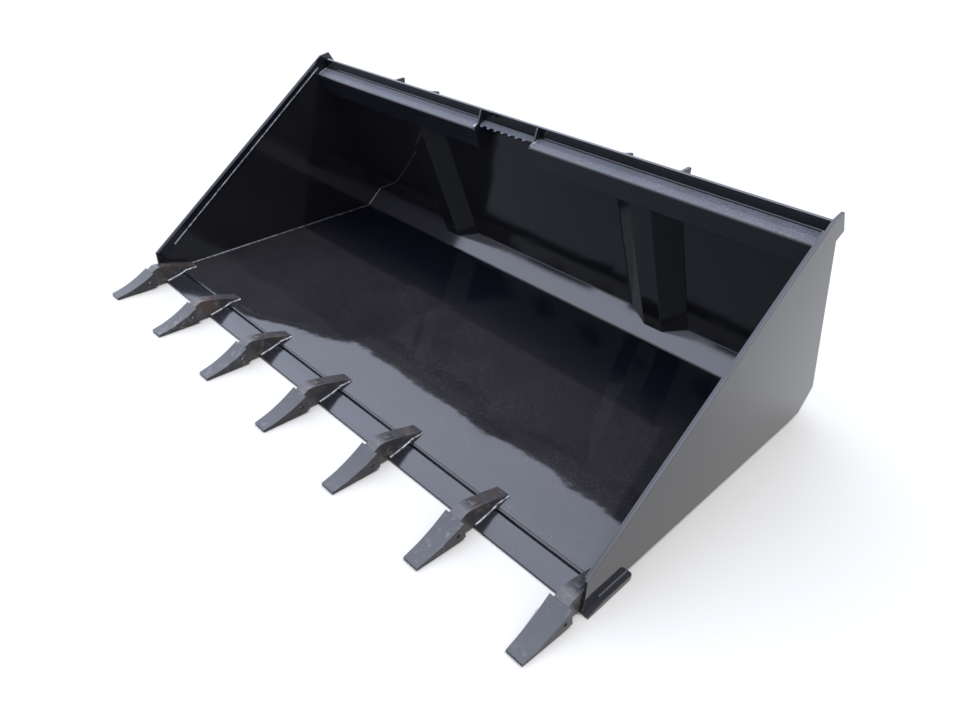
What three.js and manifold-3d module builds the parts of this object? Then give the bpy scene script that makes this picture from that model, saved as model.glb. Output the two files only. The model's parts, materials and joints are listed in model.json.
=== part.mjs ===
// Skid steer bucket: a welded steel scoop 78 in wide, with seven pinned teeth on its cutting edge
// and the universal quick-attach frame on its back.
//
// Millimetres, +Z up. +X runs along the cutting edge, +Y points back towards the machine, and the
// ground is Z = 0, the underside of the cutting edge. Pieces are drawn with Y = 0 on the line
// where the floor meets the heel; the last lines move the whole group along Y to centre its box.

import * as THREE from 'three';
import { mergeVertices } from 'three/addons/utils/BufferGeometryUtils.js';
import Module from 'manifold-3d';

const manifold = await Module();
manifold.setup();

// ---------------------------------------------------------------- driving dimensions

const GAP = 0.3;                 // fit left between two welded pieces
const PLATE = 6.4;               // 1/4 in plate of the shell

// cutting edge: a bevelled 5/8 x 6 in bar
const EDGE_LENGTH = 1981;
const EDGE_THICK = 15.9;
const EDGE_BACK = -775;
const EDGE_FRONT = EDGE_BACK - 152.4;
const EDGE_NOSE = 6.5;           // height of the blunt front face
const BEVEL_RUN = 45.4;
const EDGE_CORNER = 8;           // rounding of the bar's two back corners

// side plates
const SIDE_OUTER = 975.4;        // X of the outer face
const SIDE_THICK = 8;
const SIDE_INNER = SIDE_OUTER - SIDE_THICK;
const INSIDE = SIDE_INNER - GAP; // half length of whatever is fitted between the side plates
const SIDE_FRONT = EDGE_FRONT - 0.2;
const SIDE_FRONT_TOP = 102.8;
const SLANT = 36.35;             // slope of the side plate's upper edge, degrees
const SHOULDER_Y = -173;
// (Y, Z) corners behind the shoulder; the horn closes the end of the quick-attach hook
const SIDE_REAR = [
  [-134.5, 665.3],               // tip of the horn
  [-98.5, 610],                  // back of the horn
  [-129.2, 594.4],               // foot of the horn, on the back plate's rear face
  [73.1, 86.3],                  // back plate's foot
  [69.5, 78],                    // under the heel's rear end
  [23.1, 16.2],                  // chamfered bottom corner
];

// floor and heel
const FLOOR_BOTTOM = EDGE_THICK + GAP;
const FLOOR_THICK = 9.5;
const FLOOR_TOP = FLOOR_BOTTOM + FLOOR_THICK;
const FLOOR_FRONT = -855.2;
const HEEL_RUN = 67.2;
const HEEL_RISE = 58.2;

// back plate
const BACK_LEAN = 21.8;          // lean towards the front, degrees from vertical
const BACK_HEIGHT = 606;         // along the slope, from the heel to the top edge

// lip tube, 2 x 3 in, and the foot step cut into it
const TUBE_DEPTH = 50.8;
const TUBE_HEIGHT = 76.2;
const TUBE_WALL = 4.8;
const TUBE_TOP = 570.5;          // along the slope
const STEP_LEFT = -131;
const STEP_RIGHT = 95;
const CAP_THICK = 6;
const CAP_CHAMFER = 6;           // of the end cap's front corner
const CAP_PEAK = [574.5, 27];    // (up the slope, off the back plate) of the end cap's crest
const CAP_TOE = [603, 4];        // where the end cap runs out, near the top of the back plate
const TREAD_THICK = 5;
const TREAD_DROP = 3;            // tread's top below the tube's top face
const TREAD_ROOT = 24;
const TREAD_TIP = 32;
const TREAD_PITCH = 29.3;
const TREAD_TEETH = 7;
const TREAD_FIRST = 12;          // from the cut-out's left end to the first tip
const TREAD_TOOTH_FLAT = 8;

// lever pockets pressed forward out of the back
const POCKET_INNER = 361;        // |X| of the foot nearest the middle
const POCKET_OUTER = 573;
const POCKET_FACE_INNER = 436;
const POCKET_FACE_OUTER = 502;
const POCKET_DEPTH = 39;
const WINDOW_INNER = 378;
const WINDOW_OUTER = 557;
const WINDOW_LOW = 150;
const WINDOW_HIGH = 470;
const WINDOW_CORNER = 20;

// side edge bars, welded inside the side plates along the slanted edge
const BAR_THICK = 4.5;
const BAR_SETBACK = 2;
const BAR_START = 5;             // along the slanted edge, from the front corner
const BAR_END = 905;
const BAR_WIDE = 27.5;
const BAR_NARROW = 18.6;
const BAR_RAKE = 12;             // how far the bar's front end leans forward, bottom to top

// quick-attach frame, for a coupler 1143 wide
const EAR_INNER = 574;           // |X| of the ear's inner face
const EAR_THICK = 9.5;
const EAR_DEPTH = 53;
const EAR_LOW = 100;
const EAR_TOP_DEPTH = 37;        // depth left at the ear's top
const EAR_CHAMFER = 42;          // how far down the chamfer behind it runs
const EAR_FOOT_DEPTH = 29;       // depth left at its foot
const HOOK_LEG = 61;             // leg of the hook, down the back plate
const HOOK_THICK = 8;
const HOOK_REACH = 60.5;         // length of the hook's flange
const HOOK_ANGLE = 35;           // between the flange and the back plate
const RIB_PLACES = [391, 569];
const RIB_THICK = 9.5;
const RIB_HEIGHTS = [20, 30];
const LEDGE_TOP = 132;           // along the slope
const LEDGE_THICK = 12.7;
const LEDGE_DEPTH = 69;
const LEDGE_INNER = 300;
const SLOT_CENTRE = 413;
const SLOT_LENGTH = 64;
const SLOT_WIDTH = 32;
const SLOT_CORNER = 8;
const BRACKET_PLACES = [330, 510];
const BRACKET_THICK = 9.5;
const BRACKET_LOW = 32;
const BRACKET_REACH = 58.5;

// wear strips under the floor
const STRIP_PLACES = [-800, -330, 330, 800];
const STRIP_WIDTH = 76;
const STRIP_FRONT = -755;
const STRIP_BACK = -12;

// teeth
const TOOTH_COUNT = 7;
const TOOTH_PITCH = 316;
const SHANK_WIDTH = 38;
const SHANK_TAIL = -812;
const SEAM = -971;               // Y where the point meets the shank, at the top
const SEAM_LEAN = 7;             // how much further back the seam is at the bottom
const POINT_BACK_WIDTH = 60.4;
const POINT_TIP_WIDTH = 45.5;
const POINT_TIP = -1105;
const POINT_FIT = 0.4;
const SHANK_TOP = 57;            // height at the seam
const SHANK_FOOT = 10;
// (Y, Z) points: the shank's crest from tail to top, the point's hollow upper face and its sole
const SHANK_CREST = [[SHANK_TAIL, 30.5], [-862, 47], [-912, 61], [-940, 66.5], [-955, 66]];
const POINT_SCOOP = [[-1012, 36], [-1060, 18], [POINT_TIP, 8.5]];
const POINT_SOLE = [[POINT_TIP, 1], [-990, 5]];
const POINT_HEEL = 9;            // height of the point's rear end above the ground
const NOSE_WIDTH = 30;           // of the shank's wedge inside the point
const NOSE_ROOT = -956;
const NOSE_TIP = -1022;
const NOSE_ROOT_HEIGHTS = [17, 46];  // lower and upper face
const NOSE_TIP_HEIGHTS = [13, 25];
const CREST_STEPS = 9;           // straight lengths in each curve
const PIN_Y = -988;
const PIN_Z = 27;
const PIN_RADIUS = 4.7;
const PIN_LENGTH = 52;
const PIN_HOLE = 5.2;
const PIN_SIDES = 16;

// ---------------------------------------------------------------- directions and finishes

const X = new THREE.Vector3(1, 0, 0);
const Y = new THREE.Vector3(0, 1, 0);
const Z = new THREE.Vector3(0, 0, 1);
const lean = THREE.MathUtils.degToRad(BACK_LEAN);
const UP = new THREE.Vector3(0, -Math.sin(lean), Math.cos(lean));     // up the back plate
const IN = new THREE.Vector3(0, -Math.cos(lean), -Math.sin(lean));    // into the bucket
const DOWN = UP.clone().negate();
const FOOT = new THREE.Vector3(0, HEEL_RUN, FLOOR_TOP + HEEL_RISE);   // back plate's lower edge

const bucket = new THREE.Group();

function add(name, geometry, color = 0x15161a, roughness = 0.25, metalness = 0.1) {
  const finish = new THREE.MeshStandardMaterial({ color, roughness, metalness });
  const mesh = new THREE.Mesh(geometry, finish);
  mesh.name = name;
  bucket.add(mesh);
}

const addTooth = (name, geometry) => add(name, geometry, 0x26272b, 0.45, 0.2);
const addSteel = (name, geometry) => add(name, geometry, 0x77787c, 0.4, 0.9);

// ---------------------------------------------------------------- ways to make a solid

// Extrudes a shape drawn on the first two directions along the third.
function extrude(shape, depth, directions, origin) {
  const options = { depth, bevelEnabled: false, curveSegments: 5 };
  const geometry = new THREE.ExtrudeGeometry(shape, options);
  const frame = new THREE.Matrix4().makeBasis(...directions).setPosition(origin);
  return geometry.applyMatrix4(frame);
}

const polygon = (points) => new THREE.Shape(points.map(([a, b]) => new THREE.Vector2(a, b)));

// A rectangle with round corners, as a Shape or as a Path for a hole.
function rounded(Kind, left, right, low, high, radius) {
  const path = new Kind();
  path.moveTo(left + radius, low);
  path.absarc(right - radius, low + radius, radius, -Math.PI / 2, 0);
  path.absarc(right - radius, high - radius, radius, 0, Math.PI / 2);
  path.absarc(left + radius, high - radius, radius, Math.PI / 2, Math.PI);
  path.absarc(left + radius, low + radius, radius, Math.PI, 1.5 * Math.PI);
  return path;
}

// A (Y, Z) outline run along X.
const along = (shape, from, to) => extrude(shape, to - from, [Y, Z, X], X.clone().multiplyScalar(from));

// An (X, slope) outline on the back plate, from one height off its front face to another.
function onBackPlate(shape, from, to) {
  return extrude(shape, to - from, [X, UP, IN], FOOT.clone().addScaledVector(IN, from));
}

// An (X, height off the back plate) section run down the slope.
function downBackPlate(shape, low, high) {
  return extrude(shape, high - low, [X, IN, DOWN], FOOT.clone().addScaledVector(UP, high));
}

// (Y, Z) of a point given by its distance up the back plate and its height off the front face.
function sloped([up, off]) {
  const point = FOOT.clone().addScaledVector(UP, up).addScaledVector(IN, off);
  return [point.y, point.z];
}

function toSolid(geometry) {
  const bare = geometry.clone();
  bare.deleteAttribute('normal');
  bare.deleteAttribute('uv');
  const merged = mergeVertices(bare);
  const vertProperties = Float32Array.from(merged.attributes.position.array);
  const triVerts = Uint32Array.from(merged.index.array);
  return new manifold.Manifold(new manifold.Mesh({ numProp: 3, vertProperties, triVerts }));
}

function toGeometry(body) {
  const { vertProperties, triVerts } = body.getMesh();
  const geometry = new THREE.BufferGeometry();
  geometry.setAttribute('position', new THREE.BufferAttribute(vertProperties, 3));
  geometry.setIndex(new THREE.BufferAttribute(triVerts, 1));
  geometry.computeVertexNormals();
  return geometry;
}

function cut(geometry, ...tools) {
  const body = tools.reduce((rest, tool) => rest.subtract(toSolid(tool)), toSolid(geometry));
  return toGeometry(body);
}

const join = (one, other) => toGeometry(toSolid(one).add(toSolid(other)));
const overlap = (one, other) => toGeometry(toSolid(one).intersect(toSolid(other)));

// Calls make(name ending, side) for the left (-1) and the right (+1) hand piece.
function bothSides(make) {
  make('left', -1);
  make('right', 1);
}

// Runs a (Y, Z) outline along X between two distances from the middle, on one side.
function alongSide(shape, side, near, far) {
  return side > 0 ? along(shape, near, far) : along(shape, -far, -near);
}

// ---------------------------------------------------------------- shell

// Height of the cutting edge's upper surface on its bevel.
const bevelHeight = (y) => EDGE_NOSE + (EDGE_THICK - EDGE_NOSE) * (y - EDGE_FRONT) / BEVEL_RUN;

function cuttingEdge() {
  const section = polygon([
    [EDGE_BACK, 0],
    [EDGE_BACK, EDGE_THICK],
    [EDGE_FRONT + BEVEL_RUN, EDGE_THICK],
    [EDGE_FRONT, EDGE_NOSE],
    [EDGE_FRONT, 0],
  ]);
  const half = EDGE_LENGTH / 2;
  const bar = along(section, -half, half);
  const frontSpare = EDGE_FRONT - 2 * EDGE_CORNER;
  const plan = rounded(THREE.Shape, -half, half, frontSpare, EDGE_BACK, EDGE_CORNER);
  const post = extrude(plan, 3 * EDGE_THICK, [X, Y, Z], new THREE.Vector3(0, 0, -EDGE_THICK));
  add('cutting_edge', overlap(bar, post));
}

function floorPlate() {
  const section = polygon([
    [FLOOR_FRONT, FLOOR_BOTTOM],
    [-GAP, FLOOR_BOTTOM],
    [-GAP, FLOOR_TOP],
    [FLOOR_FRONT, FLOOR_TOP],
  ]);
  add('floor_plate', along(section, -INSIDE, INSIDE));
}

const heelLength = Math.hypot(HEEL_RUN, HEEL_RISE);
const heelOut = [HEEL_RISE / heelLength, -HEEL_RUN / heelLength];     // (Y, Z), out of the bucket

function heelPlate() {
  const low = [0, FLOOR_TOP];
  const high = [HEEL_RUN, FLOOR_TOP + HEEL_RISE];
  const behind = ([y, z]) => [y + PLATE * heelOut[0], z + PLATE * heelOut[1]];
  add('heel_plate', along(polygon([low, behind(low), behind(high), high]), -INSIDE, INSIDE));
}

function backPlate() {
  const outline = polygon([
    [-INSIDE, GAP],
    [INSIDE, GAP],
    [INSIDE, BACK_HEIGHT],
    [-INSIDE, BACK_HEIGHT],
  ]);
  const window = (left, right) => rounded(THREE.Path, left, right, WINDOW_LOW, WINDOW_HIGH, WINDOW_CORNER);
  outline.holes.push(window(WINDOW_INNER, WINDOW_OUTER), window(-WINDOW_OUTER, -WINDOW_INNER));
  add('back_plate', onBackPlate(outline, -PLATE, 0));
}

function sidePlates() {
  const rise = Math.tan(THREE.MathUtils.degToRad(SLANT));
  const outline = polygon([
    [EDGE_FRONT + BEVEL_RUN, FLOOR_BOTTOM],
    [SIDE_FRONT, bevelHeight(SIDE_FRONT) + 2 * GAP],
    [SIDE_FRONT, SIDE_FRONT_TOP],
    [SHOULDER_Y, SIDE_FRONT_TOP + (SHOULDER_Y - SIDE_FRONT) * rise],
    ...SIDE_REAR,
  ]);
  bothSides((hand, side) => {
    add(`side_plate_${hand}`, alongSide(outline, side, SIDE_INNER, SIDE_OUTER));
  });
}

function sideEdgeBars() {
  const slant = THREE.MathUtils.degToRad(SLANT);
  const place = (forward, down) => [
    SIDE_FRONT + forward * Math.cos(slant) + down * Math.sin(slant),
    SIDE_FRONT_TOP + forward * Math.sin(slant) - down * Math.cos(slant),
  ];
  const outline = polygon([
    place(BAR_START, BAR_SETBACK),
    place(BAR_START - BAR_RAKE, BAR_SETBACK + BAR_WIDE),
    place(BAR_END, BAR_SETBACK + BAR_NARROW),
    place(BAR_END, BAR_SETBACK),
  ]);
  bothSides((hand, side) => {
    const bar = alongSide(outline, side, INSIDE - BAR_THICK, INSIDE);
    add(`side_edge_bar_${hand}`, bar);
  });
}

// ---------------------------------------------------------------- lever pockets

function leverPockets() {
  // A wall's thickness measured across the pocket's mouth, where the wall slopes in by run.
  const across = (run) => PLATE * Math.hypot(run, POCKET_DEPTH) / POCKET_DEPTH;
  const innerRun = POCKET_FACE_INNER - POCKET_INNER;
  const outerRun = POCKET_OUTER - POCKET_FACE_OUTER;
  const hollow = (POCKET_DEPTH - PLATE) / POCKET_DEPTH;
  const section = (side) => polygon([
    [side * POCKET_INNER, GAP],
    [side * POCKET_FACE_INNER, POCKET_DEPTH],
    [side * POCKET_FACE_OUTER, POCKET_DEPTH],
    [side * POCKET_OUTER, GAP],
    [side * (POCKET_OUTER - across(outerRun)), GAP],
    [side * (POCKET_OUTER - across(outerRun) - outerRun * hollow), POCKET_DEPTH - PLATE],
    [side * (POCKET_INNER + across(innerRun) + innerRun * hollow), POCKET_DEPTH - PLATE],
    [side * (POCKET_INNER + across(innerRun)), GAP],
  ]);
  // Everything under the heel's upper face, so that the pocket's foot follows the heel.
  const reach = 3 * heelLength;
  const heelPoint = (forward, out) => [
    forward * HEEL_RUN / heelLength + out * heelOut[0],
    FLOOR_TOP + forward * HEEL_RISE / heelLength + out * heelOut[1],
  ];
  const underHeel = polygon([
    heelPoint(-reach, -GAP),
    heelPoint(-reach, reach),
    heelPoint(reach, reach),
    heelPoint(reach, -GAP),
  ]);
  const tubeBottom = TUBE_TOP - TUBE_HEIGHT;
  bothSides((hand, side) => {
    const channel = downBackPlate(section(side), -POCKET_DEPTH, tubeBottom - GAP);
    add(`lever_pocket_${hand}`, cut(channel, along(underHeel, -INSIDE, INSIDE)));
  });
}

// ---------------------------------------------------------------- lip tube and foot step

function topRails() {
  const low = TUBE_TOP - TUBE_HEIGHT;
  const corner = 1.5 * TUBE_WALL;
  const near = GAP;
  const far = GAP + TUBE_DEPTH;
  const bore = rounded(THREE.Path, low + TUBE_WALL, TUBE_TOP - TUBE_WALL,
    near + TUBE_WALL, far - TUBE_WALL, corner - TUBE_WALL);
  const tube = rounded(THREE.Shape, low, TUBE_TOP, near, far, corner);
  tube.holes.push(bore);
  // The section is drawn on (up the slope, into the bucket), whose third direction is +X.
  const rail = (from, to) => extrude(tube, to - from, [UP, IN, X], FOOT.clone().setX(from));
  add('top_rail_left', rail(-INSIDE, STEP_LEFT - CAP_THICK - GAP));
  add('top_rail_right', rail(STEP_RIGHT + CAP_THICK + GAP, INSIDE));
}

function stepEndCaps() {
  const low = TUBE_TOP - TUBE_HEIGHT;
  const outline = polygon([
    [low, GAP],
    [low, GAP + TUBE_DEPTH],
    [TUBE_TOP - CAP_CHAMFER, GAP + TUBE_DEPTH],
    [TUBE_TOP, GAP + TUBE_DEPTH - CAP_CHAMFER],
    CAP_PEAK,
    CAP_TOE,
    [CAP_TOE[0], GAP],
  ].map(sloped));
  add('step_end_cap_left', along(outline, STEP_LEFT - CAP_THICK, STEP_LEFT));
  add('step_end_cap_right', along(outline, STEP_RIGHT, STEP_RIGHT + CAP_THICK));
}

function stepTread() {
  const left = STEP_LEFT + GAP;
  const right = STEP_RIGHT - GAP;
  const firstTip = STEP_LEFT + TREAD_FIRST;
  const points = [[left, GAP], [left, TREAD_ROOT]];
  for (let tooth = 0; tooth < TREAD_TEETH; tooth++) {
    const tip = firstTip + tooth * TREAD_PITCH;
    points.push([tip - TREAD_TOOTH_FLAT, TREAD_ROOT]);
    points.push([tip - TREAD_TOOTH_FLAT / 2, TREAD_TIP]);
    points.push([tip + TREAD_TOOTH_FLAT / 2, TREAD_TIP]);
    points.push([tip + TREAD_TOOTH_FLAT, TREAD_ROOT]);
  }
  points.push([right, TREAD_ROOT], [right, GAP]);
  const top = TUBE_TOP - TREAD_DROP;
  add('step_tread', downBackPlate(polygon(points), top - TREAD_THICK, top));
}

// ---------------------------------------------------------------- quick-attach frame

const behindPlate = -PLATE - GAP;      // height of the quick-attach pieces' welded faces
const hookTurn = THREE.MathUtils.degToRad(HOOK_ANGLE);
const hookTip = [
  BACK_HEIGHT - HOOK_REACH * Math.cos(hookTurn),
  behindPlate - HOOK_REACH * Math.sin(hookTurn),
];

function attachHook() {
  const tipUnder = [
    hookTip[0] - HOOK_THICK * Math.sin(hookTurn),
    hookTip[1] + HOOK_THICK * Math.cos(hookTurn),
  ];
  const legBack = behindPlate - HOOK_THICK;
  const insideCorner = tipUnder[0] + (legBack - tipUnder[1]) / Math.tan(hookTurn);
  const section = polygon([
    [BACK_HEIGHT - HOOK_LEG, behindPlate],
    [BACK_HEIGHT, behindPlate],
    hookTip,
    tipUnder,
    [insideCorner, legBack],
    [BACK_HEIGHT - HOOK_LEG, legBack],
  ].map(sloped));
  add('attach_hook', along(section, -INSIDE, INSIDE));
}

// Small stiffeners that stand on the hook's sloping flange, level on top.
function hookRibs() {
  const onFlange = (run) => {
    const [y, z] = sloped([
      BACK_HEIGHT - run * Math.cos(hookTurn),
      behindPlate - run * Math.sin(hookTurn),
    ]);
    return [y, z + GAP * 2];
  };
  RIB_PLACES.forEach((place, index) => {
    const [frontY, frontZ] = onFlange(HOOK_THICK);
    const [backY, backZ] = onFlange(HOOK_REACH - 2);
    const top = backZ + RIB_HEIGHTS[index];
    const outline = polygon([[frontY, frontZ], [backY, backZ], [backY, top - 3], [backY - 3, top]]);
    const position = index === 0 ? 'inner' : 'outer';
    bothSides((hand, side) => {
      const near = place - RIB_THICK / 2;
      add(`hook_rib_${position}_${hand}`, alongSide(outline, side, near, near + RIB_THICK));
    });
  });
}

function ears() {
  const back = behindPlate - EAR_DEPTH;
  const top = BACK_HEIGHT - HOOK_LEG - GAP;
  const outline = polygon([
    [EAR_LOW, behindPlate],
    [top, behindPlate],
    [top, behindPlate - EAR_TOP_DEPTH],
    [top - EAR_CHAMFER, back],
    [LEDGE_TOP, back],
    [EAR_LOW, behindPlate - EAR_FOOT_DEPTH],
  ].map(sloped));
  bothSides((hand, side) => {
    add(`attach_ear_${hand}`, alongSide(outline, side, EAR_INNER, EAR_INNER + EAR_THICK));
  });
}

// Ledges under the coupler, each with the slot that takes one of its wedge pins.
function pinLedges() {
  const back = behindPlate - LEDGE_DEPTH;
  const middle = (behindPlate + back) / 2;
  bothSides((hand, side) => {
    const near = side * LEDGE_INNER;
    const far = side * (EAR_INNER - GAP);
    const ledge = polygon([[near, behindPlate], [far, behindPlate], [far, back], [near, back]]);
    const slotLeft = side * SLOT_CENTRE - SLOT_LENGTH / 2;
    ledge.holes.push(rounded(THREE.Path, slotLeft, slotLeft + SLOT_LENGTH,
      middle - SLOT_WIDTH / 2, middle + SLOT_WIDTH / 2, SLOT_CORNER));
    add(`pin_ledge_${hand}`, downBackPlate(ledge, LEDGE_TOP - LEDGE_THICK, LEDGE_TOP));
  });
}

function ledgeBrackets() {
  const top = LEDGE_TOP - LEDGE_THICK - GAP;
  const outline = polygon([
    [BRACKET_LOW, behindPlate],
    [top, behindPlate],
    [top, behindPlate - BRACKET_REACH],
    [top - BRACKET_THICK, behindPlate - BRACKET_REACH],
    [BRACKET_LOW, behindPlate - BRACKET_THICK],
  ].map(sloped));
  BRACKET_PLACES.forEach((place, index) => {
    const position = index === 0 ? 'inner' : 'outer';
    bothSides((hand, side) => {
      const near = place - BRACKET_THICK / 2;
      const bracket = alongSide(outline, side, near, near + BRACKET_THICK);
      add(`ledge_bracket_${position}_${hand}`, bracket);
    });
  });
}

// ---------------------------------------------------------------- wear strips

function wearStrips() {
  const section = polygon([
    [STRIP_FRONT, 0],
    [STRIP_BACK - EDGE_THICK / 2, 0],
    [STRIP_BACK, EDGE_THICK / 2],
    [STRIP_BACK, EDGE_THICK],
    [STRIP_FRONT, EDGE_THICK],
  ]);
  STRIP_PLACES.forEach((centre, index) => {
    const left = centre - STRIP_WIDTH / 2;
    add(`wear_strip_${index + 1}`, along(section, left, left + STRIP_WIDTH));
  });
}

// ---------------------------------------------------------------- teeth

// A (Y, Z) curve through the points given, as a list of points.
function curve(points) {
  const spline = new THREE.SplineCurve(points.map(([y, z]) => new THREE.Vector2(y, z)));
  return spline.getPoints(CREST_STEPS).map(({ x, y }) => [x, y]);
}

// Side view of the shank: a tail on the floor, a hump over the bevel and a flat front face.
function shankOutline() {
  const clear = 0.5;
  return polygon([
    ...curve(SHANK_CREST),
    [SEAM, SHANK_TOP],
    [SEAM + SEAM_LEAN, SHANK_FOOT],
    [EDGE_FRONT - clear, EDGE_NOSE + clear],
    [EDGE_FRONT - clear, bevelHeight(EDGE_FRONT) + 2 * GAP],
    [EDGE_FRONT + BEVEL_RUN, FLOOR_BOTTOM],
    [FLOOR_FRONT - clear, FLOOR_BOTTOM],
    [FLOOR_FRONT - clear, FLOOR_TOP + GAP],
    [SHANK_TAIL, FLOOR_TOP + GAP],
  ]);
}

// Side view of the wedge that the point slides over, larger by grow for the point's socket.
function noseOutline(grow) {
  return polygon([
    [NOSE_ROOT, NOSE_ROOT_HEIGHTS[0] - grow],
    [NOSE_ROOT, NOSE_ROOT_HEIGHTS[1] + grow],
    [NOSE_TIP - grow, NOSE_TIP_HEIGHTS[1] + grow],
    [NOSE_TIP - grow, NOSE_TIP_HEIGHTS[0] - grow],
  ]);
}

function pinCylinder(radius, length) {
  const cylinder = new THREE.CylinderGeometry(radius, radius, length, PIN_SIDES);
  return cylinder.rotateZ(Math.PI / 2).translate(0, PIN_Y, PIN_Z);
}

function shank() {
  const half = SHANK_WIDTH / 2;
  const halfNose = NOSE_WIDTH / 2;
  const body = along(shankOutline(), -half, half);
  const nose = along(noseOutline(0), -halfNose, halfNose);
  return cut(join(body, nose), pinCylinder(PIN_HOLE, 2 * SHANK_WIDTH));
}

// The point is run along X at a width of 1, then each vertex is moved out to the width at its Y.
function point() {
  const outline = polygon([
    ...curve([[SEAM - POINT_FIT, SHANK_TOP], ...POINT_SCOOP]),
    ...POINT_SOLE,
    [SEAM + SEAM_LEAN - POINT_FIT, POINT_HEEL],
  ]);
  const wedge = along(outline, -0.5, 0.5);
  const place = wedge.attributes.position;
  const taper = (POINT_BACK_WIDTH - POINT_TIP_WIDTH) / (SEAM - POINT_TIP);
  for (let index = 0; index < place.count; index++) {
    const width = POINT_TIP_WIDTH + taper * (place.getY(index) - POINT_TIP);
    place.setX(index, place.getX(index) * width);
  }
  const halfSocket = NOSE_WIDTH / 2 + POINT_FIT;
  const socket = along(noseOutline(POINT_FIT), -halfSocket, halfSocket);
  return cut(wedge, socket, pinCylinder(PIN_HOLE, 2 * POINT_BACK_WIDTH));
}

function teeth() {
  const shankShape = shank();
  const pointShape = point();
  const pinShape = pinCylinder(PIN_RADIUS, PIN_LENGTH);
  for (let tooth = 0; tooth < TOOTH_COUNT; tooth++) {
    const x = (tooth - (TOOTH_COUNT - 1) / 2) * TOOTH_PITCH;
    addTooth(`tooth_shank_${tooth + 1}`, shankShape.clone().translate(x, 0, 0));
    addTooth(`tooth_point_${tooth + 1}`, pointShape.clone().translate(x, 0, 0));
    addSteel(`tooth_pin_${tooth + 1}`, pinShape.clone().translate(x, 0, 0));
  }
}

// ---------------------------------------------------------------- the whole bucket

cuttingEdge();
floorPlate();
heelPlate();
backPlate();
sidePlates();
sideEdgeBars();
leverPockets();
topRails();
stepEndCaps();
stepTread();
attachHook();
hookRibs();
ears();
pinLedges();
ledgeBrackets();
wearStrips();
teeth();

const box = new THREE.Box3().setFromObject(bucket);
bucket.position.y = -(box.min.y + box.max.y) / 2;

export default bucket;
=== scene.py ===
# %% [markdown]
# # A skid steer bucket in gloss black enamel
# The bucket's plates, tube, teeth and quick-attach frame come from the CAD model. This lesson dresses
# them: every cut edge gets a small round, the joints get their weld beads, and black enamel, weld
# metal and spring steel are built as procedural materials. Lengths are metres.

# %% Load the CAD frame
import json
import math
import bpy
from mathutils import Matrix, Vector

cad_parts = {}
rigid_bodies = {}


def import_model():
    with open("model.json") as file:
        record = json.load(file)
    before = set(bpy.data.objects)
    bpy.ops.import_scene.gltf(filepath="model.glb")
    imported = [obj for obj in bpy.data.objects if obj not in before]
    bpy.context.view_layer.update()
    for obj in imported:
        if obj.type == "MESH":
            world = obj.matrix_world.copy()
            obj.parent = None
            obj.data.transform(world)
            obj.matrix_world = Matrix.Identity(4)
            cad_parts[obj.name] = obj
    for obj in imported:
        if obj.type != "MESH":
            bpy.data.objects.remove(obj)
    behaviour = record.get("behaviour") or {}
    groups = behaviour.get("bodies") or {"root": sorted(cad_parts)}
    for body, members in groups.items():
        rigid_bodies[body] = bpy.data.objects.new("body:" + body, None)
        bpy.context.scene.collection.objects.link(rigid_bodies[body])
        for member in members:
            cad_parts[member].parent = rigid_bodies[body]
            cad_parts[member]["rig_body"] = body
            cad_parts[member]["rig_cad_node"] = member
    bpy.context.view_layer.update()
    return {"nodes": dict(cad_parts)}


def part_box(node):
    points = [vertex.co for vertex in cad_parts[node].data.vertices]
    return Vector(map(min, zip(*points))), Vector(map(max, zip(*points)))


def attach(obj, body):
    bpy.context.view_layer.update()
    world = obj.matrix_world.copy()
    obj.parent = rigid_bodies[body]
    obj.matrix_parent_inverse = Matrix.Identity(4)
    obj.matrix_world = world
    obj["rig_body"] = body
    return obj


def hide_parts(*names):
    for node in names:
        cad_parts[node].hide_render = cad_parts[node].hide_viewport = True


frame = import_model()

print("CAD nodes:", len(frame["nodes"]))

# %% [markdown]
# Blender's operators act on whatever is selected, and loading leaves every CAD node selected.
# Small helpers keep that under control: one clears the selection, one makes an object the only
# selected and active one, and two step in and out of edit mode. The last joins several pieces into
# one object, as is done with each set of beads.

# %% Selection helpers
def nothing_selected():
    bpy.ops.object.select_all(action="DESELECT")
    bpy.context.view_layer.objects.active = None


def only(piece):
    nothing_selected()
    piece.select_set(True)
    bpy.context.view_layer.objects.active = piece


def edit(piece, select="SELECT"):
    only(piece)
    bpy.ops.object.mode_set(mode="EDIT")
    bpy.ops.mesh.select_mode(type="VERT")
    bpy.ops.mesh.select_all(action=select)


def object_mode():
    bpy.ops.object.mode_set(mode="OBJECT")


def joined(name, pieces):
    nothing_selected()
    for piece in pieces:
        piece.select_set(True)
    bpy.context.view_layer.objects.active = pieces[0]
    bpy.ops.object.join()
    pieces[0].name = name
    return pieces[0]


nothing_selected()
print("selection cleared")

# %% [markdown]
# The joints are found from the CAD boxes: the floor's top face, the line where it meets the heel, and
# the foot of the back plate. Sizes that no box gives, such as the lean of the back wall and the
# height of the lip tube on it, repeat the model's own. A point on the wall is given by its distance
# up the slope and its height off the plate.

# %% Where the joints are
LEAN = math.radians(21.8)       # of the back wall, from upright
SLANT = math.radians(36.35)     # of the side plates' long edge, from level
SIDE_FRONT_TOP = 0.1028         # height of the side plates' front corner
HEEL_RUN = 0.0672               # the heel plate's depth, front to back
TUBE_LOW = 0.4943               # the lip tube's two edges, up the slope
TUBE_HIGH = 0.5705
TUBE_FACE = 0.0511              # how far the tube stands off the wall
STEP_LEFT = -0.137              # the tube's ends at the foot-step's gap
STEP_RIGHT = 0.101
UP = Vector((0, -math.sin(LEAN), math.cos(LEAN)))
IN = Vector((0, -math.cos(LEAN), -math.sin(LEAN)))

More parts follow.
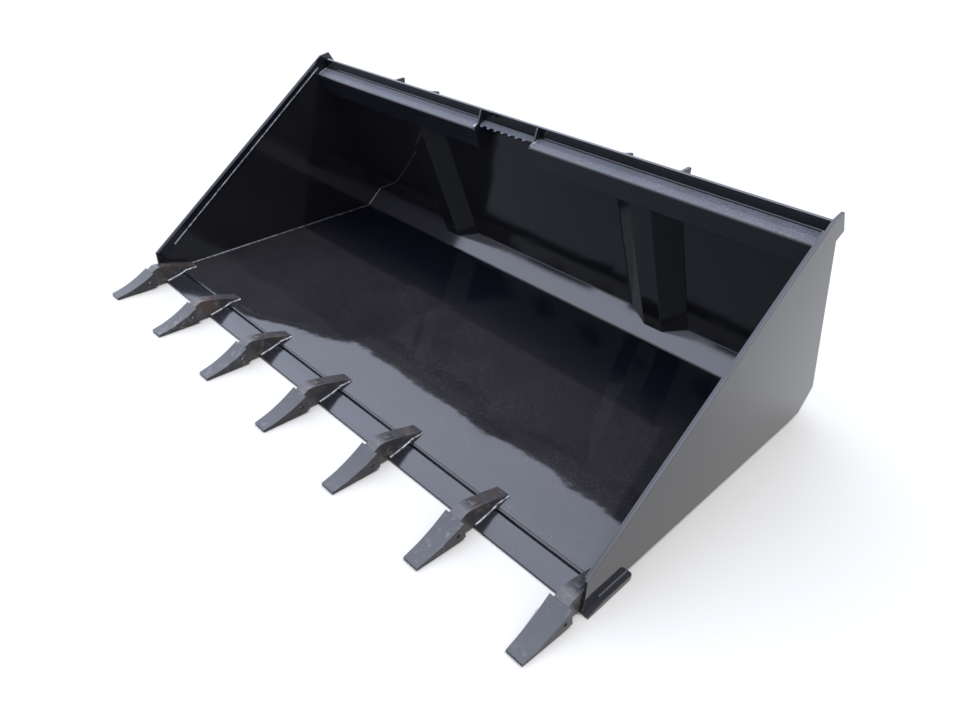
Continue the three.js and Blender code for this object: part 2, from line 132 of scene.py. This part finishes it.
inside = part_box("floor_plate")[1].x
floor_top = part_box("floor_plate")[1].z
floor_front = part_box("floor_plate")[0].y
heel_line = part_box("heel_plate")[0].y
foot = Vector((0, heel_line + HEEL_RUN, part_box("heel_plate")[1].z))
edge_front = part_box("cutting_edge")[0].y
edge_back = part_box("cutting_edge")[1].y
edge_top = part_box("cutting_edge")[1].z
print("heel line at y =", round(heel_line, 4))


def wall(x, up, off):
    return Vector((x, 0, 0)) + foot + UP * up + IN * off


# %% [markdown]
# The camera stands in front of the bucket's right-hand end, about 1.3 m up, and looks down across the
# floor. Its place and turn are plain values; the slight shift keeps the bucket framed without tilting
# the camera.

# %% Camera
CAMERA_PLACE = (1.4839, -1.2579, 1.3000)
CAMERA_TURN = (54.909, -1.198, 45.900)  # degrees
CAMERA_LENS = 27.615
CAMERA_SHIFT = (0.0024, 0.0126)

bpy.ops.object.camera_add(location=CAMERA_PLACE, rotation=[math.radians(a) for a in CAMERA_TURN])
camera = bpy.context.object
camera.name = "camera"
camera.data.lens = CAMERA_LENS
camera.data.shift_x, camera.data.shift_y = CAMERA_SHIFT
bpy.context.scene.camera = camera
print("camera", tuple(round(v, 3) for v in camera.location))

# %% [markdown]
# Gloss black paint has almost no colour of its own: what is seen is the sky in it. So the light is a
# wide, even sky, slightly blue and brighter overhead, which the floor plate mirrors in front and the
# dark back wall blocks behind. One soft key light stands high behind the right-hand end, so the lip
# and the right side plate throw a faint shade on the floor plate. The studio floor is plain and pale.

# %% Sky, soft light and floor
SKY_STOPS = (
    (0.60, (0.36, 0.38, 0.42, 1.0)),
    (0.74, (0.42, 0.46, 0.56, 1.0)),
    (0.90, (0.76, 0.82, 1.00, 1.0)),
)
GLOW_FROM = (-0.35, 0.0, 0.94)  # the sky is brightest this way
SKY_STRENGTH = 5.2

world = bpy.data.worlds.new("soft_sky")
bpy.context.scene.world = world
world.use_nodes = True
sky = world.node_tree
direction = sky.nodes.new("ShaderNodeTexCoord")
toward = sky.nodes.new("ShaderNodeVectorMath")
toward.operation = "DOT_PRODUCT"
toward.inputs[1].default_value = GLOW_FROM
ramp = sky.nodes.new("ShaderNodeValToRGB")
ramp.color_ramp.elements.new(0.5)
for stop, (position, color) in zip(ramp.color_ramp.elements, SKY_STOPS):
    stop.position = position
    stop.color = color
background = sky.nodes["Background"]
background.inputs["Strength"].default_value = SKY_STRENGTH
sky.links.new(direction.outputs["Generated"], toward.inputs[0])
sky.links.new(toward.outputs["Value"], ramp.inputs["Fac"])
sky.links.new(ramp.outputs["Color"], background.inputs["Color"])

KEY_FROM = Vector((0.32, 0.248, 1.0))
KEY_STRENGTH = 4.0
KEY_ANGLE = math.radians(2.0)
KEY_COLOR = (1.0, 0.95, 0.90)
KEY_DISTANCE = 4
bpy.ops.object.light_add(type="SUN", location=KEY_FROM * KEY_DISTANCE)
key = bpy.context.object
key.name = "soft_key"
key.data.energy = KEY_STRENGTH
key.data.angle = KEY_ANGLE
key.data.color = KEY_COLOR
key.visible_glossy = False  # it lights the dust, but puts no glints in the gloss
key.rotation_euler = KEY_FROM.to_track_quat("Z", "Y").to_euler()

FLOOR_SIZE = 60
FLOOR_DROP = 0.0005  # keeps the floor clear of the bucket's own underside
nothing_selected()
bpy.ops.mesh.primitive_plane_add(size=FLOOR_SIZE, location=(0, 0, -FLOOR_DROP))
floor = bpy.context.object
floor.name = "studio_floor"
bpy.context.scene.view_settings.view_transform = "Standard"
print("sky strength", SKY_STRENGTH)

# %% [markdown]
# Materials are node graphs, and arithmetic between nodes is clearer as an expression. `Socket` wraps
# one output: adding or multiplying sockets adds Math nodes. `Outputs` picks a node's output by name.
# `Finish` holds one material: its `add` makes any kind of node, and short methods name the few kinds
# that every finish here uses.

# %% Shader expressions
class Socket:
    def __init__(self, finish, output):
        self.finish = finish
        self.output = output

    def _math(self, operation, first, second):
        made = self.finish.add("ShaderNodeMath", {"operation": operation}, {0: first, 1: second})
        return made["Value"]

    def __add__(self, other):
        return self._math("ADD", self, other)

    def __sub__(self, other):
        return self._math("SUBTRACT", self, other)

    def __rsub__(self, other):
        return self._math("SUBTRACT", other, self)

    def __mul__(self, other):
        return self._math("MULTIPLY", self, other)

    __radd__ = __add__
    __rmul__ = __mul__


class Outputs:
    def __init__(self, finish, node):
        self.finish = finish
        self.node = node

    def __getitem__(self, name):
        return Socket(self.finish, self.node.outputs[name])


class Finish:
    def __init__(self, name):
        self.material = bpy.data.materials.new(name)
        self.material.use_nodes = True
        self.tree = self.material.node_tree
        self.shader = self.tree.nodes["Principled BSDF"]
        self.place = self.add("ShaderNodeTexCoord", {}, {})["Object"]

    def add(self, kind, settings, inputs):
        node = self.tree.nodes.new(kind)
        for name, value in settings.items():
            setattr(node, name, value)
        for name, value in inputs.items():
            self._feed(node.inputs[name], value)
        return Outputs(self, node)

    def _feed(self, socket, value):
        if isinstance(value, Socket):
            self.tree.links.new(value.output, socket)
        else:
            socket.default_value = value

    def noise(self, scale, detail=2.0, roughness=0.5, stretch=None):
        place = self.place
        if stretch:
            place = self.add("ShaderNodeMapping", {}, {"Vector": place, "Scale": stretch})["Vector"]
        inputs = {"Vector": place, "Scale": scale, "Detail": detail, "Roughness": roughness}
        return self.add("ShaderNodeTexNoise", {}, inputs)["Fac"]

    def cells(self, scale):
        return self.add("ShaderNodeTexVoronoi", {}, {"Vector": self.place, "Scale": scale})

    def ramp(self, value, low, high):
        """0 below low, 1 above high, smooth between."""
        inputs = {"Value": value, "From Min": low, "From Max": high}
        return self.add("ShaderNodeMapRange", {"interpolation_type": "SMOOTHSTEP"}, inputs)["Result"]

    def blend(self, factor, first, second):
        node = self.tree.nodes.new("ShaderNodeMix")
        node.data_type = "RGBA"
        for index, value in ((0, factor), (6, first), (7, second)):
            self._feed(node.inputs[index], value)
        return Socket(self, node.outputs[2])

    def bump(self, height, distance, below=None):
        inputs = {"Height": height, "Distance": distance, "Strength": 1.0}
        if below:
            inputs["Normal"] = below
        return self.add("ShaderNodeBump", {}, inputs)["Normal"]

    def surface(self, **sockets):
        """Feeds the shader: base_color goes to Base Color, and so on."""
        for name, value in sockets.items():
            self._feed(self.shader.inputs[name.replace("_", " ").title()], value)
        return self.material


def rgb(red, green, blue):
    return (red, green, blue, 1.0)


print("shader expressions ready")

# %% [markdown]
# ## Gloss black enamel
# Sprayed enamel is a smooth, nearly black coat with three kinds of unevenness: the plate under it is
# a little wavy, so mirrored edges wander; the coat has a fine orange peel; and a thin film of dust
# lies on what faces up, with specks of grit in it. The floor under the overhanging lip is painted
# darker, with less dust: painted shade where the lip's shadow falls. In the corner behind the lip tube
# the dust is thickened, which is painted light over the shade there.
# The same function makes every painted finish, with more or less of each.

# %% Enamel
ENAMEL_BLACK = rgb(0.0030, 0.0034, 0.0060)
ENAMEL_GREY = rgb(0.0070, 0.0075, 0.0110)
DUST_BROWN = rgb(0.085, 0.070, 0.056)
DUST_GREY = rgb(0.095, 0.100, 0.118)
GRIT_GREY = rgb(0.22, 0.21, 0.20)
SHADE_AND_SHELTER = (0.15, 0.34)  # Y between which the floor is painted darker: painted shade under the lip, with less dust
CORNER_LIGHT_REACH = 0.040    # how far the thickened dust, a painted light over the shade in the corner behind the lip tube, spreads


def enamel(name, base=ENAMEL_BLACK, wave=0.0015, ripple=0.0, dust=0.08, dust_color=DUST_BROWN,
           grit=0.0, gloss=0.07, dull=0.3, peel=0.00001, shade_and_shelter=None, corner_dust_and_light=0.0):
    finish = Finish(name)
    facing = finish.add("ShaderNodeNewGeometry", {}, {})["Normal"]
    upward = finish.add("ShaderNodeSeparateXYZ", {}, {"Vector": facing})["Z"]
    lying = finish.ramp(upward, 0.2, 0.9)
    cloud = finish.ramp(finish.noise(4.0, 5.0, 0.65), 0.25, 0.80)
    # the dust film, which also carries the painted shade under the lip and the painted light in the corner
    dust_and_painted_light = (lying * (cloud * 0.5 + 0.6) + 0.05) * dust
    if shade_and_shelter:
        backward = finish.add("ShaderNodeSeparateXYZ", {}, {"Vector": finish.place})["Y"]
        # behind this Y span the floor is painted darker: painted shade of the lip, with less dust
        dust_and_painted_light = dust_and_painted_light * (1.0 - finish.ramp(backward, *shade_and_shelter))
    if corner_dust_and_light:
        # near the wall the dust is thickened: painted light over the corner's shade, with more dust
        off = finish.add("ShaderNodeVectorMath", {"operation": "DOT_PRODUCT"}, {0: finish.place, 1: IN})
        painted_corner_light = 1.0 - finish.ramp(off["Value"] - foot.dot(IN), 0.0, CORNER_LIGHT_REACH)
        dust_and_painted_light = dust_and_painted_light * (painted_corner_light * corner_dust_and_light + 1.0)
    mottle = finish.ramp(finish.noise(330.0, 3.0, 0.7), 0.35, 0.75)
    gritty = finish.ramp(finish.noise(7.0, 4.0, 0.6), 0.40, 0.60)
    speck = finish.ramp(finish.cells(150.0)["Distance"], 0.20, 0.12) * gritty * grit
    color = finish.blend(dust_and_painted_light * (mottle + 0.4), base, dust_color)
    color = finish.blend(speck * dust_and_painted_light * 6.0, color, GRIT_GREY)
    streak = finish.noise(40.0, 3.0, 0.6, stretch=(1.0, 0.15, 0.15))
    rough = dust_and_painted_light * dull + streak * 0.03 + (gloss - 0.015)
    wavy = finish.bump(finish.noise(2.6, 1.0), wave)
    rippled = finish.bump(finish.noise(11.0, 2.0), ripple, below=wavy)
    peeled = finish.bump(finish.noise(650.0, 1.0), peel, below=rippled)
    return finish.surface(base_color=color, roughness=rough, normal=peeled)


# The floor's rear is painted darker: painted shade under the lip, with less dust there.
floor_paint = enamel("floor_enamel", wave=0.0045, ripple=0.0005, dust=0.10, grit=0.28, gloss=0.035,
                     dull=0.12, shade_and_shelter=SHADE_AND_SHELTER)
heel_paint = enamel("heel_enamel", base=ENAMEL_GREY, wave=0.002, grit=0.1, gloss=0.08)
wall_paint = enamel("wall_enamel", base=rgb(0.0052, 0.0053, 0.0066), wave=0.0008, dust=0.06)
plate_paint = enamel("plate_enamel")
# The rail's dust is thickened in the corner behind the lip tube: painted light over the shade there.
rail_paint = enamel("rail_enamel", wave=0.0005, dust=0.70, dust_color=DUST_GREY, gloss=0.10, dull=0.9,
                    corner_dust_and_light=0.9)
frame_paint = enamel("frame_enamel", wave=0.001, dust=0.15, gloss=0.12)
print("enamels made")

# %% [markdown]
# ## Teeth and cutting edge
# The teeth are forged, so the same paint lies on a coarser skin, duller and a little greyer, and the
# corners already show rubbed metal. The rubbing follows noise and the sharpness of the surface. The
# shanks also carry a brown stain from the heat of their welds; the points, fitted later, do not.

# %% Forged and worn finishes
POINT_GREY = rgb(0.007, 0.007, 0.0090)
SHANK_GREY = rgb(0.018, 0.017, 0.018)
RUBBED_STEEL = rgb(0.16, 0.15, 0.15)
RUST_BROWN = rgb(0.055, 0.036, 0.028)


def forged_paint(name, base, rub, stained, skin_depth):
    finish = Finish(name)
    sharp = finish.add("ShaderNodeNewGeometry", {}, {})["Pointiness"]
    scuff = finish.ramp(finish.noise(55.0, 4.0, 0.65), 0.5, 0.75)
    rubbed = finish.ramp(sharp, 0.51, 0.58) * scuff * rub
    stain = finish.ramp(finish.noise(14.0, 3.0, 0.6), 0.45, 0.75) * stained
    color = finish.blend(stain, base, RUST_BROWN)
    color = finish.blend(rubbed, color, RUBBED_STEEL)
    rough = finish.noise(90.0, 3.0) * 0.20 + 0.24
    skin = finish.bump(finish.noise(120.0, 4.0, 0.6), skin_depth)
    pits = finish.bump(finish.noise(520.0, 2.0), skin_depth * 0.3, below=skin)
    return finish.surface(base_color=color, roughness=rough, metallic=rubbed * 0.8, normal=pits)


point_paint = forged_paint("point_enamel", POINT_GREY, 0.5, 0.0, 0.0003)
shank_paint = forged_paint("shank_enamel", SHANK_GREY, 0.7, 0.55, 0.0005)
edge_paint = enamel("edge_enamel", wave=0.002, dust=0.05, grit=0.3, gloss=0.14)
print("tooth and edge finishes made")

# %% [markdown]
# ## Weld metal and spring steel
# The beads in the bucket's mouth are bright: weld metal with only a thin mist of paint on it, a
# little thicker in the corners. The structural beads elsewhere are painted over. The pins are plain
# oiled steel. The studio floor's matt grey is made here too.

# %% Metals
def metal(name, color, dark, rough, depth):
    finish = Finish(name)
    patch = finish.ramp(finish.noise(70.0, 3.0, 0.6), 0.42, 0.66)
    tone = finish.blend(patch, color, dark)
    roughness = finish.noise(220.0, 2.0) * 0.2 + rough
    ripple = finish.bump(finish.noise(900.0, 2.0), depth)
    return finish.surface(base_color=tone, roughness=roughness, metallic=0.85, normal=ripple)


weld_metal = metal("weld_metal", rgb(0.34, 0.34, 0.35), rgb(0.09, 0.09, 0.10), 0.30, 0.0002)
pin_steel = metal("pin_steel", rgb(0.30, 0.30, 0.31), rgb(0.12, 0.11, 0.10), 0.30, 0.0001)
misted_weld = metal("misted_weld", rgb(0.17, 0.17, 0.175), rgb(0.05, 0.05, 0.055), 0.30, 0.0002)
weld_paint = enamel("weld_enamel", wave=0.0, dust=0.12, gloss=0.14)

FLOOR_TONES = (rgb(0.27, 0.265, 0.25), rgb(0.285, 0.28, 0.265))
floor_finish = Finish("pale_floor")
floor_tone = floor_finish.blend(floor_finish.noise(0.8, 2.0), *FLOOR_TONES)
floor.data.materials.append(floor_finish.surface(base_color=floor_tone, roughness=0.9))
print("metals and studio floor made")

# %% [markdown]
# ## Plates with rolled and ground edges
# A CAD edge is perfectly sharp, and no real plate is: a sawn or sheared edge is broken by a fraction
# of a millimetre, and that round is what catches the light. Each node is copied, its loose triangles
# merged and its flat faces joined, and a Bevel modifier rounds what is left. A Weighted Normal
# modifier then gives the big flat faces the say over shading, so that their reflections stay flat.

# %% Rounding the CAD pieces
MERGE_GAP = 0.00001
FLAT_ANGLE = math.radians(1.0)
BEVEL_ANGLE = math.radians(22)
SMOOTH_ANGLE = math.radians(50)


def rounded_copy(node, finish, width, segments=2):
    only(frame["nodes"][node])
    bpy.ops.object.duplicate()
    piece = bpy.context.object
    piece.name = f"{node}_painted"
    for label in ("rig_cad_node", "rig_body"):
        del piece[label]
    bpy.ops.object.parent_clear(type="CLEAR_KEEP_TRANSFORM")
    edit(piece)
    bpy.ops.mesh.remove_doubles(threshold=MERGE_GAP)
    bpy.ops.mesh.dissolve_limited(angle_limit=FLAT_ANGLE)
    object_mode()
    bevel = piece.modifiers.new("edge", "BEVEL")
    bevel.width = width
    bevel.segments = segments
    bevel.limit_method = "ANGLE"
    bevel.angle_limit = BEVEL_ANGLE
    bpy.ops.object.modifier_apply(modifier="edge")
    bpy.ops.object.shade_smooth_by_angle(angle=SMOOTH_ANGLE)
    flat = piece.modifiers.new("flat", "WEIGHTED_NORMAL")
    flat.keep_sharp = True
    bpy.ops.object.modifier_apply(modifier="flat")
    piece.data.materials.clear()
    piece.data.materials.append(finish)
    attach(piece, "root")
    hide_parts(node)


BOTH = ("left", "right")
STRIP_NUMBERS = range(1, 5)
TOOTH_NUMBERS = range(1, 8)
SHEET_EDGE = 0.0008
BAR_EDGE = 0.0012
POCKET_EDGE = 0.0022
SHANK_EDGE = 0.0025
POINT_EDGE = 0.0015
PIN_EDGE = 0.0006
FORGED_SEGMENTS = 3

finishes = {
    "floor_plate": (floor_paint, SHEET_EDGE),
    "heel_plate": (heel_paint, SHEET_EDGE),
    "back_plate": (wall_paint, SHEET_EDGE),
    "cutting_edge": (edge_paint, BAR_EDGE),
    "step_tread": (rail_paint, SHEET_EDGE),
    "attach_hook": (frame_paint, BAR_EDGE),
}
for hand in BOTH:
    finishes[f"side_plate_{hand}"] = (wall_paint, SHEET_EDGE)
    finishes[f"side_edge_bar_{hand}"] = (plate_paint, SHEET_EDGE)
    finishes[f"lever_pocket_{hand}"] = (wall_paint, POCKET_EDGE)
    finishes[f"top_rail_{hand}"] = (rail_paint, SHEET_EDGE)
    finishes[f"step_end_cap_{hand}"] = (rail_paint, SHEET_EDGE)
    finishes[f"attach_ear_{hand}"] = (frame_paint, BAR_EDGE)
    finishes[f"pin_ledge_{hand}"] = (frame_paint, BAR_EDGE)
    for position in ("inner", "outer"):
        finishes[f"hook_rib_{position}_{hand}"] = (frame_paint, BAR_EDGE)
        finishes[f"ledge_bracket_{position}_{hand}"] = (frame_paint, BAR_EDGE)
for number in STRIP_NUMBERS:
    finishes[f"wear_strip_{number}"] = (frame_paint, BAR_EDGE)

for node, (finish, width) in finishes.items():
    rounded_copy(node, finish, width)

for number in TOOTH_NUMBERS:
    rounded_copy(f"tooth_shank_{number}", shank_paint, SHANK_EDGE, FORGED_SEGMENTS)
    rounded_copy(f"tooth_point_{number}", point_paint, POINT_EDGE, FORGED_SEGMENTS)
    rounded_copy(f"tooth_pin_{number}", pin_steel, PIN_EDGE)
print("rounded pieces:", len(finishes) + 3 * len(TOOTH_NUMBERS))

# %% [markdown]
# ## Weld beads
# A weld bead is a row of overlapping puddles, so it is modelled as one: a short open ring swells in
# the middle, an Array modifier repeats it along the joint, and the ends are closed. A Displace
# modifier with a cloud texture makes it a little uneven, as a hand-held torch does. A curve with a
# round section would be quicker, but it would have no ripples.

# %% Making beads
BEAD_SIDES = 10
BEAD_PITCH = 0.004
PUDDLE_END = 0.82       # of the bead's radius, at the ends of each puddle
PUDDLE_SWELL = 1.22     # the middle of a puddle, times its ends
UNEVENNESS = 0.0012
BEAD_SMOOTH_ANGLE = math.radians(60)

bead_noise = bpy.data.textures.new("bead_noise", "CLOUDS")
bead_noise.noise_scale = 0.012


def bead(start, end, radius, pitch=BEAD_PITCH):
    start = Vector(start)
    end = Vector(end)
    run = end - start
    count = max(2, round(run.length / pitch))
    pitch = run.length / count
    nothing_selected()
    bpy.ops.mesh.primitive_cylinder_add(
        vertices=BEAD_SIDES, radius=radius * PUDDLE_END, depth=pitch, end_fill_type="NOTHING")
    piece = bpy.context.object
    edit(piece)
    bpy.ops.mesh.subdivide(number_cuts=1)
    bpy.ops.mesh.select_all(action="DESELECT")
    object_mode()
    for vertex in piece.data.vertices:
        vertex.select = abs(vertex.co.z) < pitch / 4
    bpy.ops.object.mode_set(mode="EDIT")
    bpy.ops.transform.resize(value=(PUDDLE_SWELL, PUDDLE_SWELL, 1))
    object_mode()
    row = piece.modifiers.new("row", "ARRAY")
    row.count = count
    row.use_relative_offset = False
    row.use_constant_offset = True
    row.constant_offset_displace = (0, 0, pitch)
    row.use_merge_vertices = True
    row.merge_threshold = pitch / 20
    bpy.ops.object.modifier_apply(modifier="row")
    edit(piece, "DESELECT")
    bpy.ops.mesh.select_non_manifold()
    bpy.ops.mesh.edge_face_add()
    object_mode()
    turn = run.to_track_quat("Z", "Y").to_matrix().to_4x4()
    piece.data.transform(Matrix.Translation(start) @ turn @ Matrix.Translation((0, 0, pitch / 2)))
    return piece


def welds(name, beads, finish):
    piece = joined(name, beads)
    uneven = piece.modifiers.new("uneven", "DISPLACE")
    uneven.texture = bead_noise
    uneven.texture_coords = "GLOBAL"
    uneven.strength = UNEVENNESS
    bpy.ops.object.modifier_apply(modifier="uneven")
    edit(piece)
    bpy.ops.mesh.normals_make_consistent(inside=False)
    object_mode()
    bpy.ops.object.shade_smooth_by_angle(angle=BEAD_SMOOTH_ANGLE)
    piece.data.materials.append(finish)
    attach(piece, "root")
    print(name, len(piece.data.polygons), "faces")


# %% [markdown]
# The beads in the bucket's mouth show bright against the enamel. Each shank is welded along both
# sides, down the step of the floor and over the cutting edge's bevel; a shank flush with a side plate
# has no bead on that side. The bars and the ends of the lip tube are welded to the side plates, the
# tube to the step's end caps, and a bead runs down each corner of the floor and heel.

# %% Bright beads in the mouth of the bucket
SHANK_BEAD = 0.004
TUBE_END_BEAD = 0.0025
CAP_BEAD = 0.003
BAR_BEAD = 0.006
FLOOR_CORNER_BEAD = 0.004
HEEL_CORNER_BEAD = 0.003
PLATE_GAP = 0.004               # nearer to a side plate than this, a bead is left out
EDGE_BEVEL = 0.0454             # the cutting edge's bevel, front to back
TOE = (0.003, 0.008)            # a bead's end on the bevel, behind the edge's nose and above the ground
BAR_START = (0.066, 0.0295)     # along the side plate's slanted edge, and below it
BAR_END = (0.900, 0.0215)


def tooth_x(number):
    low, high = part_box(f"tooth_shank_{number}")
    return (low.x + high.x) / 2


def shank_welds():
    beads = []
    low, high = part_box("tooth_shank_4")
    half = (high.x - low.x) / 2
    for number in TOOTH_NUMBERS:
        for side in (-1, 1):
            x = tooth_x(number) + side * half
            if abs(x) > inside - PLATE_GAP:
                continue
            tail = (x, high.y, floor_top)
            brink = (x, floor_front, floor_top)
            step = (x, floor_front, floor_top - 0.002)
            crest = (x, edge_front + EDGE_BEVEL, edge_top)
            toe = (x, edge_front + TOE[0], TOE[1])
            for start, end in ((tail, brink), (step, crest), (crest, toe)):
                beads.append(bead(start, end, SHANK_BEAD))
    return beads


def slanted(side, forward, down):
    """A point on the inside of a side plate, by distance along its slanted edge and below it."""
    corner_dust_and_light = Vector((side * inside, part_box("side_plate_left")[0].y, SIDE_FRONT_TOP))
    along = Vector((0, math.cos(SLANT), math.sin(SLANT)))
    below = Vector((0, math.sin(SLANT), -math.cos(SLANT)))
    return corner_dust_and_light + along * forward + below * down


def bar_welds():
    beads = []
    for side in (-1, 1):
        x = side * inside
        front = wall(x, TUBE_HIGH, TUBE_FACE - 0.006)
        beads.append(bead(front, wall(x, TUBE_HIGH, 0.006), TUBE_END_BEAD))
        beads.append(bead(slanted(side, *BAR_START), slanted(side, *BAR_END), BAR_BEAD))
    for x in (STEP_LEFT - 0.0005, STEP_RIGHT + 0.0005):
        front = wall(x, TUBE_HIGH, TUBE_FACE - 0.007)
        beads.append(bead(front, wall(x, TUBE_HIGH, 0.010), CAP_BEAD))
    return beads


def corner_welds():
    beads = []
    for side in (-1, 1):
        x = side * inside
        front = (x, floor_front + 0.004, floor_top)
        heel = (x, heel_line, floor_top)
        beads.append(bead(front, heel, FLOOR_CORNER_BEAD))
        beads.append(bead(heel, foot + Vector((x, 0, 0)), HEEL_CORNER_BEAD))
    return beads


welds("shank_welds", shank_welds(), weld_metal)
welds("bar_welds", bar_welds(), weld_metal)
welds("corner_welds", corner_welds(), misted_weld)

# %% [markdown]
# The long seams are machine welded before painting, with longer puddles: across the bucket at the
# floor's step, at the heel and at the foot of the back wall, along both edges of the lip tube, and up
# the wall's corners and the edges of the lever pockets. The paint over them hides their colour but
# not their shape, so they take the plates' enamel.

# %% Painted beads
SEAM_PITCH = 0.007
CROSS_BEAD = 0.003
STEP_BEAD = 0.005
TUBE_BEAD = 0.004
WALL_CORNER_BEAD = 0.0020
POCKET_BEAD = 0.0025
POCKET_EDGES = (0.361, 0.573)
SEAM_STOP = 0.002               # the seams end this far from the side plates and the heel


def seam_welds():
    span = inside - SEAM_STOP
    step = Vector((0, floor_front - 0.001, floor_top - 0.006))
    heel = Vector((0, heel_line, floor_top))
    across = Vector((span, 0, 0))
    beads = []
    for middle, radius in ((heel, CROSS_BEAD), (foot, CROSS_BEAD), (step, STEP_BEAD)):
        beads.append(bead(middle - across, middle + across, radius, SEAM_PITCH))
    for x_from, x_to in ((-span, STEP_LEFT), (STEP_RIGHT, span)):
        for up in (TUBE_LOW, TUBE_HIGH):
            beads.append(bead(wall(x_from, up, 0), wall(x_to, up, 0), TUBE_BEAD, SEAM_PITCH))
    uprights = [(inside, WALL_CORNER_BEAD)] + [(x, POCKET_BEAD) for x in POCKET_EDGES]
    for side in (-1, 1):
        for x, radius in uprights:
            beads.append(bead(wall(side * x, SEAM_STOP, 0), wall(side * x, TUBE_LOW, 0), radius))
    return beads


welds("seam_welds", seam_welds(), weld_paint)

# %% [markdown]
# The quick-attach frame on the back is welded all round: both sides of every ear, bracket and rib,
# the two long edges of each pin ledge, and the lower edge of the hook. Heights here are negative,
# since they are measured out of the back of the plate. A rib stands on the hook's sloping flange, so
# its beads run down that slope.

# %% Beads of the quick-attach frame
PLATE = 0.0064
HOOK_FOOT = 0.545
PLATE_TOP = 0.606
HOOK_ANGLE = math.radians(35)
EAR_FACES = (0.5740, 0.5835)
LEDGE_EDGES = (0.1193, 0.1320)
LEDGE_ENDS = (0.300, 0.574)
BRACKET_FACES = (0.32525, 0.33475, 0.50525, 0.51475)
RIB_FACES = (0.38625, 0.39575, 0.56425, 0.57375)
RIB_RUN = (0.010, 0.057)        # a rib's bead, down the hook's flange
EAR_FOOT = 0.100
BRACKET_FOOT = 0.033
CORNER_FOOT = 0.010
HOOK_PITCH = 0.005
FRAME_BEAD = 0.004
SMALL_BEAD = 0.003


def on_flange(x, run):
    return wall(x, PLATE_TOP - run * math.cos(HOOK_ANGLE), -PLATE - run * math.sin(HOOK_ANGLE))


def frame_welds():
    rear = -PLATE - 0.001
    beads = [bead(wall(-inside, HOOK_FOOT, rear), wall(inside, HOOK_FOOT, rear), FRAME_BEAD, HOOK_PITCH)]
    for side in (-1, 1):
        for face in EAR_FACES:
            x = side * face
            beads.append(bead(wall(x, EAR_FOOT, rear), wall(x, HOOK_FOOT, rear), FRAME_BEAD))
        for up in LEDGE_EDGES:
            inner, outer = (wall(side * end, up, rear) for end in LEDGE_ENDS)
            beads.append(bead(inner, outer, FRAME_BEAD))
        for face in BRACKET_FACES:
            x = side * face
            beads.append(bead(wall(x, BRACKET_FOOT, rear), wall(x, LEDGE_EDGES[0], rear), SMALL_BEAD))
        for face in RIB_FACES:
            upper, lower = (on_flange(side * face, run) for run in RIB_RUN)
            beads.append(bead(upper, lower, SMALL_BEAD))
        joint = side * (inside + 0.0001)
        beads.append(bead(wall(joint, CORNER_FOOT, -PLATE), wall(joint, HOOK_FOOT, -PLATE), SMALL_BEAD))
    return beads


welds("frame_welds", frame_welds(), weld_paint)

# %% [markdown]
# Underneath, beads run across the bucket behind the cutting edge and below the heel, along both sides
# of each wear strip, and along the foot of each side plate where it stands on the cutting edge.

# %% Beads underneath
STRIP_PITCH = 0.006
STRIP_BEAD = 0.004
HEEL_SET = 0.002                # the heel's bead lies this far behind its line and above the edge
SIDE_STOPS = (0.048, 0.004)     # a side plate's bead stops this far from its nose and from the edge's back


def underside_welds():
    heel_back = heel_line + HEEL_SET
    heel_under = edge_top + HEEL_SET
    beads = []
    for y, z in ((edge_back, edge_top), (heel_back, heel_under)):
        beads.append(bead((-inside, y, z), (inside, y, z), STRIP_BEAD, STRIP_PITCH))
    for number in STRIP_NUMBERS:
        low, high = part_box(f"wear_strip_{number}")
        for x in (low.x, high.x):
            beads.append(bead((x, low.y, high.z), (x, high.y, high.z), STRIP_BEAD, STRIP_PITCH))
    low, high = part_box("side_plate_right")
    nose_stop, back_stop = SIDE_STOPS
    for x in (-high.x, high.x):
        front = (x, low.y + nose_stop, edge_top)
        beads.append(bead(front, (x, edge_back - back_stop, edge_top), STRIP_BEAD))
    return beads


welds("underside_welds", underside_welds(), weld_paint)

# %% [markdown]
# Each shank carries a small raised square on its crest, a plain casting pad: a cube pressed flat,
# tipped to the slope of the crest and rounded.

# %% Casting pads on the shanks
PAD_SIZE = (0.019, 0.026, 0.004)
PAD_SLOPE = math.radians(-14)
PAD_BEHIND_SEAM = 0.052
PAD_HEIGHT = 0.0612
PAD_EDGE = 0.0012
PAD_SEGMENTS = 3


def casting_pad(number):
    nothing_selected()
    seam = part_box(f"tooth_point_{number}")[1].y
    place = (tooth_x(number), seam + PAD_BEHIND_SEAM, PAD_HEIGHT)
    bpy.ops.mesh.primitive_cube_add(size=1, location=place, rotation=(PAD_SLOPE, 0, 0))
    pad = bpy.context.object
    pad.scale = PAD_SIZE
    bpy.ops.object.transform_apply(location=True, rotation=True, scale=True)
    return pad


casting_pads = joined("casting_pads", [casting_pad(number) for number in TOOTH_NUMBERS])
edit(casting_pads)
bpy.ops.mesh.bevel(offset=PAD_EDGE, segments=PAD_SEGMENTS)
object_mode()
bpy.ops.object.shade_smooth_by_angle(angle=SMOOTH_ANGLE)
casting_pads.data.materials.append(shank_paint)
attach(casting_pads, "root")
print("casting pads:", len(casting_pads.data.polygons), "faces")
